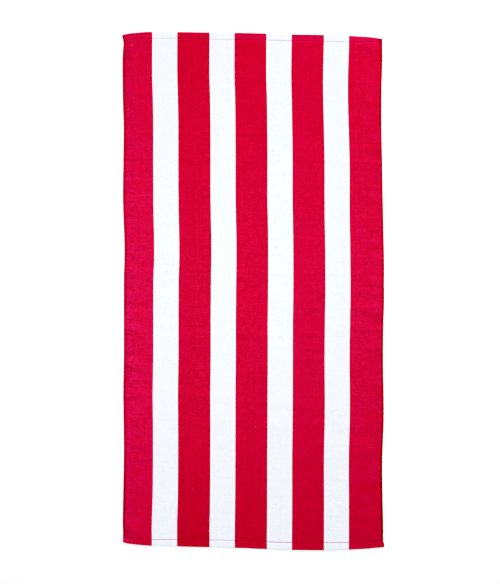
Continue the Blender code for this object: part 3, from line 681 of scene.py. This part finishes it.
def makeVelour():
    material, shader = newMaterial("striped cotton velour")
    tree = material.node_tree
    place = addNode(tree, "ShaderNodeAttribute", attribute_name="cloth").outputs["Vector"]
    at = addNode(tree, "ShaderNodeSeparateXYZ", {"Vector": place}).outputs
    colour, isRed, isLeft = dyeStripes(tree, place, at["X"])
    lean, blush, leftHem = brushPile(tree, place, at["X"])
    dyesAndPaintedLight = pileDyesAndPaintedSheen(tree, at["Y"], lean, blush, isRed, isLeft, leftHem) + hemWeaveAndPaintedLight(tree, isRed)
    # each tint multiplies the colour; the red's sheen along the towel and the tints of creases, top hem and
    # end seams are painted light and shade, and the folds' tint is dense weave with painted shade
    for share, tint in dyesAndPaintedLight:
        colour = addNode(tree, "ShaderNodeMix", {0: share, 6: colour, 7: tint},
                         data_type="RGBA", blend_type="MULTIPLY").outputs[2]
    for across, along, size in velour["lint"]:
        away = addNode(tree, "ShaderNodeVectorMath", {
            0: place, 1: (across * mm, along * mm, 0)}, operation="DISTANCE")
        share = addNode(tree, "ShaderNodeMapRange", {
            "Value": away.outputs["Value"], "From Min": size * mm,
            "From Max": size * velour["lintCore"] * mm})
        colour = addNode(tree, "ShaderNodeMix", {
            0: share.outputs["Result"], 6: colour, 7: hexToLinear(velour["lintColour"])},
            data_type="RGBA").outputs[2]

    dull = addNode(tree, "ShaderNodeMapRange", {
        "Value": lean, "To Min": velour["roughness"][0], "To Max": velour["roughness"][1]})
    tufts = addNode(tree, "ShaderNodeTexVoronoi", {
        "Vector": place, "Scale": 1 / (velour["tuftSpacing"] * mm)})
    height = addNode(tree, "ShaderNodeMath", {
        0: tufts.outputs["Distance"], 1: -velour["tuftDip"], 2: lean}, operation="MULTIPLY_ADD")
    bump = addNode(tree, "ShaderNodeBump", {
        "Height": height.outputs[0], "Strength": velour["bump"], "Distance": velour["bumpDepth"] * mm})
    feed(shader, {
        "Base Color": colour, "Roughness": dull.outputs["Result"], "Normal": bump.outputs["Normal"],
        "Specular IOR Level": velour["specular"], "Sheen Weight": velour["sheen"],
        "Sheen Roughness": velour["sheenRoughness"], "Sheen Tint": hexToLinear(velour["sheenTint"])})
    print("velour:", len(tree.nodes), "nodes")
    return material


# Spun polyester sewing thread, dyed red: a little smoother than the cotton, with a faint shine
thread = {
    "colours": ("#90062C", "#B01540"), "patch": 1000 / 65,  # darker and lighter, 65 patches to the metre
    "twist": 0.8, "twistDepth": 0.1, "bump": 0.4,       # a turn is really 0.5 mm, drawn coarser to show
    "roughness": (0.5, 0.75), "specular": 0.15,
}


def makeThread():
    material, shader = newMaterial("red sewing thread")
    tree = material.node_tree
    place = addNode(tree, "ShaderNodeTexCoord").outputs["Object"]
    patch, twist = [
        addNode(tree, "ShaderNodeTexNoise", {"Vector": place, "Scale": 1 / (size * mm), "Detail": 1})
        for size in (thread["patch"], thread["twist"])]
    dark, light = [hexToLinear(code) for code in thread["colours"]]
    dye = addNode(tree, "ShaderNodeValToRGB", {"Fac": patch.outputs["Fac"]}, ramp=((0, dark), (1, light)))
    bump = addNode(tree, "ShaderNodeBump", {
        "Height": twist.outputs["Fac"], "Strength": thread["bump"], "Distance": thread["twistDepth"] * mm})
    gloss = addNode(tree, "ShaderNodeMapRange", {
        "Value": twist.outputs["Fac"], "To Min": thread["roughness"][0], "To Max": thread["roughness"][1]})
    feed(shader, {
        "Base Color": dye.outputs["Color"], "Roughness": gloss.outputs["Result"],
        "Normal": bump.outputs["Normal"], "Specular IOR Level": thread["specular"]})
    print("thread:", len(tree.nodes), "nodes")
    return material


# lockstitch along the four hems, on both faces
stitches = {
    "length": 2.9, "gap": 0.5,             # along the seam
    "thread": 0.62, "arch": 0.35,          # thickness of the thread, and how far it stands up
    "uneven": 0.09, "seed": 12,            # share by which a stitch turns off its line
    "sizes": (0.9, 1.06),                  # the smallest and the largest stitch
    "dive": 0.7,                           # how deep the ends of a stitch sink, in threads
    "resolution": 3, "sides": 5,           # faces along and round a stitch
    "lineStep": 3.0, "endGap": 4, "sideGap": 3,     # the lines of a seam: points apart, from the edges
}


def makeStitchTree():
    # lines along the seams in, rows of sewn stitches out
    tree = bpy.data.node_groups.new("hemStitches", "GeometryNodeTree")
    face = tree.interface
    face.new_socket("Geometry", in_out="OUTPUT", socket_type="NodeSocketGeometry")
    face.new_socket("Seams", in_out="INPUT", socket_type="NodeSocketGeometry")
    for name in ("Length", "Gap", "Thread", "Arch", "Uneven"):
        face.new_socket(name, in_out="INPUT", socket_type="NodeSocketFloat")
    face.new_socket("Seed", in_out="INPUT", socket_type="NodeSocketInt")
    face.new_socket("Yarn", in_out="INPUT", socket_type="NodeSocketMaterial")
    given = addNode(tree, "NodeGroupInput").outputs
    # the middle handle of an arc stands twice as high as the arc itself
    start, end, dive, peak, radius, spacing, slipLow, nextSeed = [
        addNode(tree, "ShaderNodeMath", {0: given[name], 1: value}, operation=operation).outputs[0]
        for name, operation, value in (
            ("Length", "MULTIPLY", -0.5), ("Length", "MULTIPLY", 0.5),
            ("Thread", "MULTIPLY", -stitches["dive"]), ("Arch", "MULTIPLY", 2.0),
            ("Thread", "MULTIPLY", 0.5), ("Length", "ADD", given["Gap"]),
            ("Uneven", "MULTIPLY", -1.0), ("Seed", "ADD", 1.0))]

    # one stitch: an arched thread whose ends dive into the cloth
    first, middle, last, low, high = [
        addNode(tree, "ShaderNodeCombineXYZ", parts).outputs[0]
        for parts in ({"X": start, "Z": dive}, {"Z": peak}, {"X": end, "Z": dive},
                      {"X": slipLow, "Y": slipLow}, {"X": given["Uneven"], "Y": given["Uneven"]})]
    arc = addNode(tree, "GeometryNodeCurveQuadraticBezier", {
        "Resolution": stitches["resolution"], "Start": first, "Middle": middle, "End": last})
    ring = addNode(tree, "GeometryNodeCurvePrimitiveCircle", {
        "Resolution": stitches["sides"], "Radius": radius})
    stitch = addNode(tree, "GeometryNodeCurveToMesh", {
        "Curve": arc.outputs[0], "Profile Curve": ring.outputs[0], "Fill Caps": True})

    # its places along the seams, each a little off line
    line = addNode(tree, "GeometryNodeMeshToCurve", {"Mesh": given["Seams"]})
    spaced = addNode(tree, "GeometryNodeResampleCurve", {
        "Curve": line.outputs[0], "Length": spacing}, mode="LENGTH")
    slip = addNode(tree, "FunctionNodeRandomValue", {
        0: low, 1: high, "Seed": given["Seed"]}, data_type="FLOAT_VECTOR")
    along = addNode(tree, "ShaderNodeVectorMath", {
        0: addNode(tree, "GeometryNodeInputTangent").outputs[0], 1: slip.outputs[0]}, operation="ADD")
    turned = addNode(tree, "FunctionNodeAlignRotationToVector", {"Vector": along.outputs[0]}, axis="X")
    facing = addNode(tree, "GeometryNodeInputNamedAttribute", {"Name": "facing"}, data_type="FLOAT_VECTOR")
    upright = addNode(tree, "FunctionNodeAlignRotationToVector", {
        "Rotation": turned.outputs[0], "Vector": facing.outputs[0]}, axis="Z", pivot_axis="X")
    size = addNode(tree, "FunctionNodeRandomValue", {
        2: stitches["sizes"][0], 3: stitches["sizes"][1], "Seed": nextSeed}, data_type="FLOAT")
    row = addNode(tree, "GeometryNodeInstanceOnPoints", {
        "Points": spaced.outputs[0], "Instance": stitch.outputs[0],
        "Rotation": upright.outputs[0], "Scale": size.outputs[1]})
    real = addNode(tree, "GeometryNodeRealizeInstances", {0: row.outputs[0]})
    smooth = addNode(tree, "GeometryNodeSetShadeSmooth", {0: real.outputs[0]})
    yarn = addNode(tree, "GeometryNodeSetMaterial", {0: smooth.outputs[0], "Material": given["Yarn"]})
    addNode(tree, "NodeGroupOutput", {0: yarn.outputs[0]})
    return tree


def seamLines():
    # a plain mesh of the lines that carry the stitches, with the way that each point faces
    side, end = halfWidth - towel["sideSeam"], halfLength - towel["endSeam"]
    lengthwise, crosswise = [
        np.arange(gap - half, half - gap + 1, stitches["lineStep"])
        for half, gap in ((halfLength, stitches["endGap"]), (halfWidth, stitches["sideGap"]))]
    seams = [(np.full_like(lengthwise, turn * side), lengthwise) for turn in (-1, 1)]
    seams += [(crosswise, np.full_like(crosswise, turn * end)) for turn in (-1, 1)]
    points, edges, facing = [], [], []
    for which, up in ((1, 1), (0, -1)):
        for across, along in seams:
            line = clothPoints(across, along, which)
            first = len(points)
            points += line.tolist()
            edges += [(first + k, first + k + 1) for k in range(len(line) - 1)]
            facing += [(0, 0, up)] * len(line)
    mesh = bpy.data.meshes.new("seam_lines")
    mesh.from_pydata(points, edges, [])
    markPoints(mesh, "facing", np.array(facing))
    return mesh


def makeStitches():
    rows = newObject("seam_lines", seamLines())
    tree = makeStitchTree()
    modifier = rows.modifiers.new("stitches", "NODES")
    modifier.node_group = tree
    values = {name.title(): stitches[name] * mm for name in ("length", "gap", "thread", "arch")}
    values.update({"Uneven": stitches["uneven"], "Seed": stitches["seed"], "Yarn": makeThread()})
    for item in tree.interface.items_tree:
        if item.name in values:
            modifier[item.identifier] = values[item.name]
    evaluated = rows.evaluated_get(bpy.context.evaluated_depsgraph_get())
    sewn = bpy.data.meshes.new_from_object(evaluated)
    sewn.name = "hem_stitches"
    bpy.data.objects.remove(rows)
    triangles = sum(len(polygon.vertices) - 2 for polygon in sewn.polygons)
    print("stitches:", len(sewn.vertices), "vertices,", triangles, "triangles")
    return newObject("hem_stitches", sewn)


cloth = makeSheet()
cloth.data.materials.append(makeVelour())
sewing = makeStitches()

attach(cloth, "root")
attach(sewing, "root")
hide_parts("towel")

# in metres, watts and degrees, the film in millimetres
studio = {
    # a lit white floor, so that no shadow shows on it
    "floorSize": 30.0, "floorWhite": 0.96, "floorRoughness": 0.9, "floorSpecular": 0.1, "floorGlow": 0.35,
    "keyPlace": (1.6, 1.7, 1.9), "keyAim": (0, 0, 0), "keySize": 1.4, "keyPower": 64.0,
    "topPlace": (-0.13, -0.5, 4.2), "topAim": (-0.2, -0.05, 0), "topSize": 0.5, "topPower": 460.0,
    "topAngle": 26.6,
    "farPlace": (0.9, 6.0, 3.2), "farAim": (0, 0, 0), "farSize": 1.6, "farPower": 350.0,
    "skyStrength": 0.59,
    "cameraHeight": 4.0, "aim": (-0.0095, -0.00277), "frameHeight": 1.7228, "filmWidth": 36,
    # the photo's own tone: straight in the reds, easing off towards white
    "toneCurve": ((0.15, 0.2175), (0.4, 0.58), (0.717, 0.887), (0.897, 0.947)),
    "whiteLevel": 1.45, "blackLevel": (0.0, 0.004, 0.022),
}


def makeFloor():
    half, white = studio["floorSize"] / 2, studio["floorWhite"]
    mesh = bpy.data.meshes.new("studio_floor")
    corners = [(-half, -half, 0), (half, -half, 0), (half, half, 0), (-half, half, 0)]
    mesh.from_pydata(corners, [], [(0, 1, 2, 3)])
    paper, shader = newMaterial("white studio floor")
    feed(shader, {
        "Base Color": (white, white, white, 1), "Roughness": studio["floorRoughness"],
        "Specular IOR Level": studio["floorSpecular"], "Emission Color": (1, 1, 1, 1),
        "Emission Strength": studio["floorGlow"]})
    mesh.materials.append(paper)
    floor = newObject("studio_floor", mesh)


def makeLamps():
    for name, kind in (("key", "AREA"), ("top", "SPOT"), ("far", "AREA")):
        light = bpy.data.lights.new("soft_" + name, kind)
        light.energy = studio[name + "Power"]
        if kind == "AREA":
            light.shape = "DISK"
            light.size = studio[name + "Size"]
        else:
            light.spot_size = math.radians(studio[name + "Angle"])
            light.spot_blend = 1.0
            light.shadow_soft_size = studio[name + "Size"]
        lamp = newObject(light.name, light)
        lamp.location = studio[name + "Place"]
        aim = Vector(studio[name + "Aim"])
        lamp.rotation_euler = (aim - lamp.location).to_track_quat("-Z", "Y").to_euler()
    world = bpy.data.worlds.new("studio")
    world.use_nodes = True
    feed(world.node_tree.nodes["Background"], {"Color": (1, 1, 1, 1), "Strength": studio["skyStrength"]})
    bpy.context.scene.world = world


def makeCamera():
    # straight above, with the photo's frame, and with its tone in the colour management
    camera = bpy.data.cameras.new("camera")
    camera.sensor_width = studio["filmWidth"]
    camera.lens = studio["filmWidth"] * studio["cameraHeight"] / studio["frameHeight"]
    eye = newObject("camera", camera)
    eye.location = (*studio["aim"], studio["cameraHeight"])
    bpy.context.scene.camera = eye

    view = bpy.context.scene.view_settings
    view.view_transform = "Standard"
    view.look = "None"
    view.use_curve_mapping = True
    tone = view.curve_mapping
    tone.white_level = [studio["whiteLevel"]] * 3
    tone.black_level = studio["blackLevel"]
    allChannels = tone.curves[3]
    for place, value in studio["toneCurve"]:
        allChannels.points.new(place, value)
    tone.update()


makeFloor()
makeLamps()
makeCamera()
print("studio: floor,", len(bpy.data.lights), "lamps and camera")
